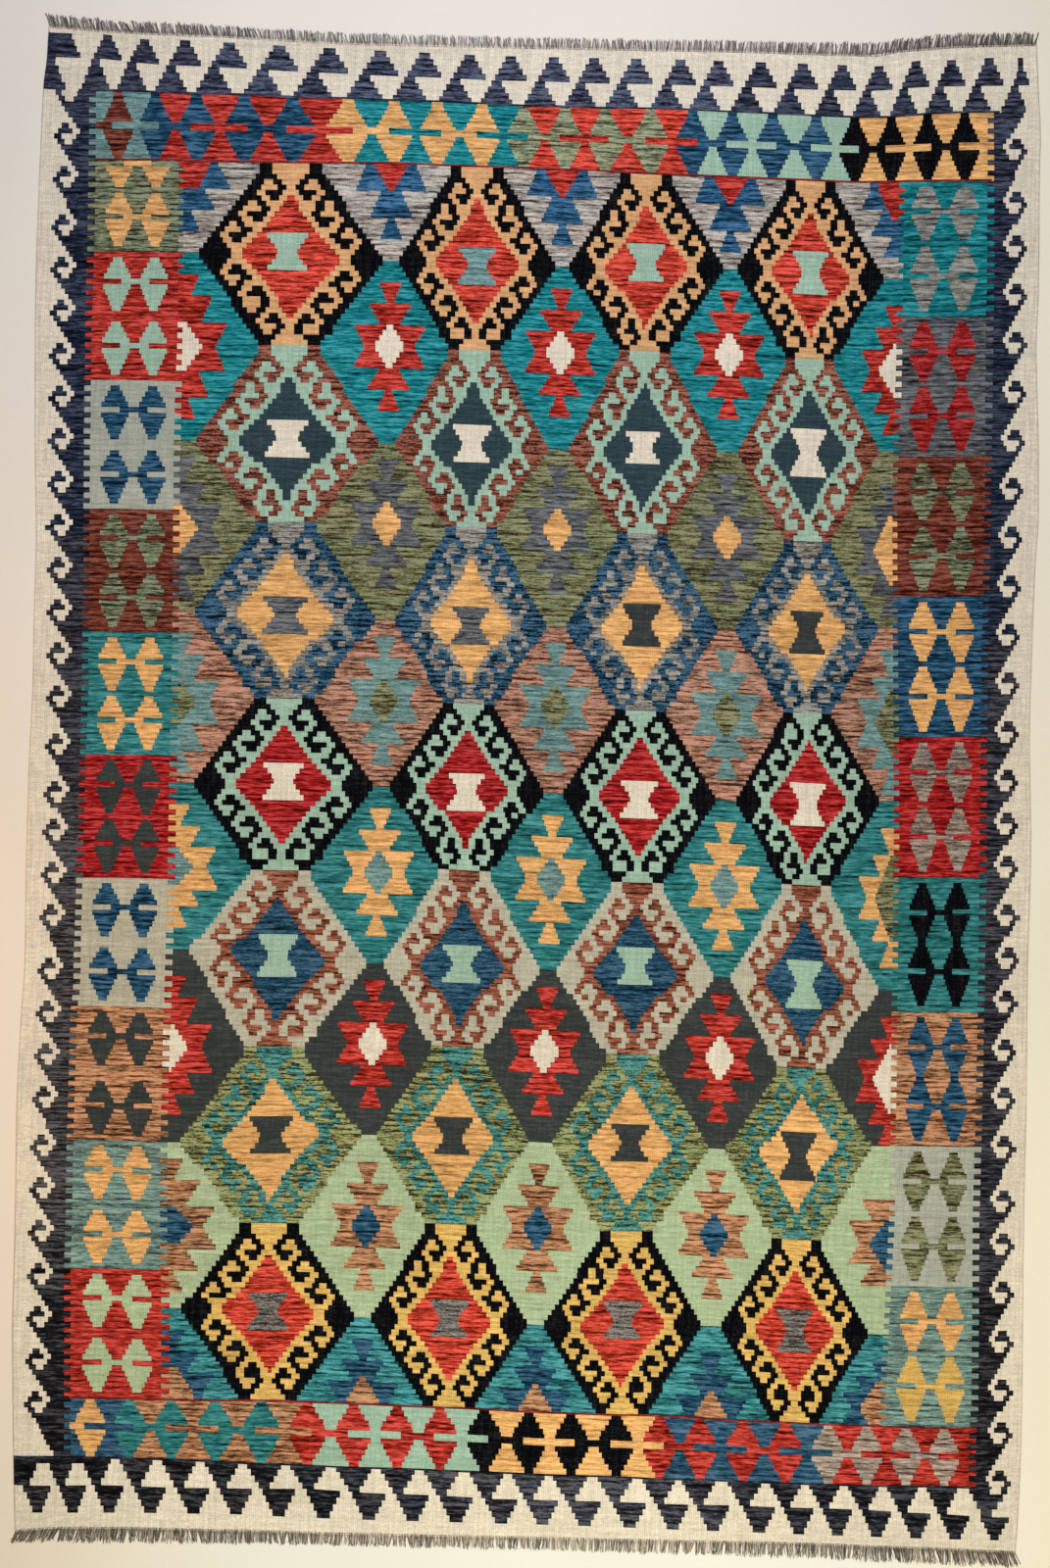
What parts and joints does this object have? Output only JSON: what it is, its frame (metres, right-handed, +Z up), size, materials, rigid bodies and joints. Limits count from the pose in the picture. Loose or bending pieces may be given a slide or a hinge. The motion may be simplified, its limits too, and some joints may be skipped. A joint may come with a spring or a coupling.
{
  "type": "kilim rug",
  "caption": "Flat-woven rectangular floor rug with corded selvedges and a short fringe of warp ends along each end, lying flat.",
  "frame": {"origin": "middle of the underside, on the floor", "axes": "+Y along the length towards the end shown at the top of the picture, +X to the right across the width, +Z up out of the face"},
  "size_m": [2.0288, 3.0784, 0.003],
  "materials": {
    "wool_weave": "weft-faced hand-woven wool, matt, with horizontal colour streaks",
    "warp_yarn": "cut grey-brown warp yarn ends, matt"
  },
  "bodies": {
    "root": {"kilim_cloth": "wool_weave", "fringe_top": "warp_yarn", "fringe_bottom": "warp_yarn"}
  },
  "joints": []
}
